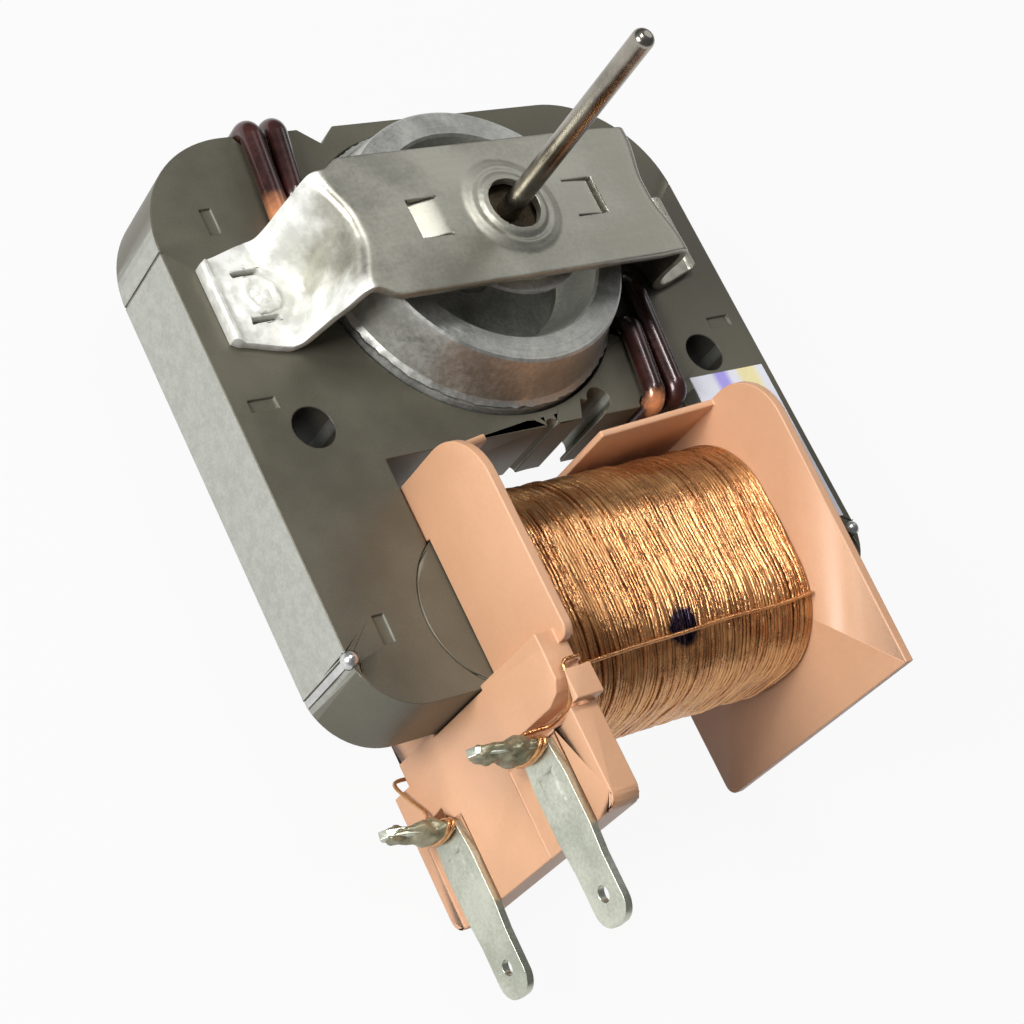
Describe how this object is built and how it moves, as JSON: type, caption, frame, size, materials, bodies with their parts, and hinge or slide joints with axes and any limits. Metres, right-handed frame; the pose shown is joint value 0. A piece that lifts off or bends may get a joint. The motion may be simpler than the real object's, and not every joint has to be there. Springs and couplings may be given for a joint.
{
  "type": "microwave fan motor",
  "caption": "Shaded-pole induction motor for a cooling fan: laminated stack, bobbin coil with blade terminals, cast rotor on a long shaft between two pressed brackets",
  "frame": {"origin": "midway between the two mounting holes, on the front face of the stack", "axes": "+Z along the shaft towards its free end, +X along the coil, +Y from the coil towards the rotor"},
  "size_m": [0.0638, 0.0863, 0.0581],
  "materials": {
    "lamination_steel": "satin, mottled",
    "bobbin_plastic": "semi-gloss moulded",
    "enamelled_copper": "glossy enamel",
    "tinned_brass": "satin tin plate",
    "solder": "dull, lumpy",
    "weld_metal": "bright bead",
    "lacquered_copper": "glossy lacquer",
    "zinc_sheet": "bright zinc plate with drawing marks",
    "rivet_steel": "bright, staked",
    "sintered_bronze": "oily, matt",
    "oil_felt": "felt",
    "spring_steel": "bright",
    "ground_steel": "ground bright",
    "cast_aluminium": "as cast, turned rim",
    "washer_plastic": "matt",
    "label_paper": "coated paper"
  },
  "bodies": {
    "stator": {"stator_core": "lamination_steel", "coil_core": "lamination_steel", "bobbin": "bobbin_plastic", "winding": "enamelled_copper", "start_lead": "enamelled_copper", "finish_lead": "enamelled_copper", "front_terminal": "tinned_brass", "rear_terminal": "tinned_brass", "solder_joints": "solder", "seam_welds": "weld_metal", "upper_outer_shading_ring": "lacquered_copper", "upper_inner_shading_ring": "lacquered_copper", "lower_outer_shading_ring": "lacquered_copper", "lower_inner_shading_ring": "lacquered_copper", "front_bracket": "zinc_sheet", "rear_bracket": "zinc_sheet", "bracket_rivets": "rivet_steel", "front_bush": "sintered_bronze", "rear_bush": "sintered_bronze", "front_felt": "oil_felt", "rear_felt": "oil_felt", "front_retainer": "spring_steel", "rear_retainer": "spring_steel", "rating_label": "label_paper"},
    "rotor": {"shaft": "ground_steel", "rotor_core": "lamination_steel", "rotor_cage": "cast_aluminium", "front_spacer": "ground_steel", "rear_spacer": "ground_steel", "front_thrust_washer": "washer_plastic", "rear_thrust_washer": "washer_plastic"}
  },
  "joints": [
    {"name": "rotor_spin", "type": "hinge", "parent": "stator", "child": "rotor", "pos_m": [0, 0.0138, 0], "axis": [0, 0, 1], "continuous": true}
  ]
}
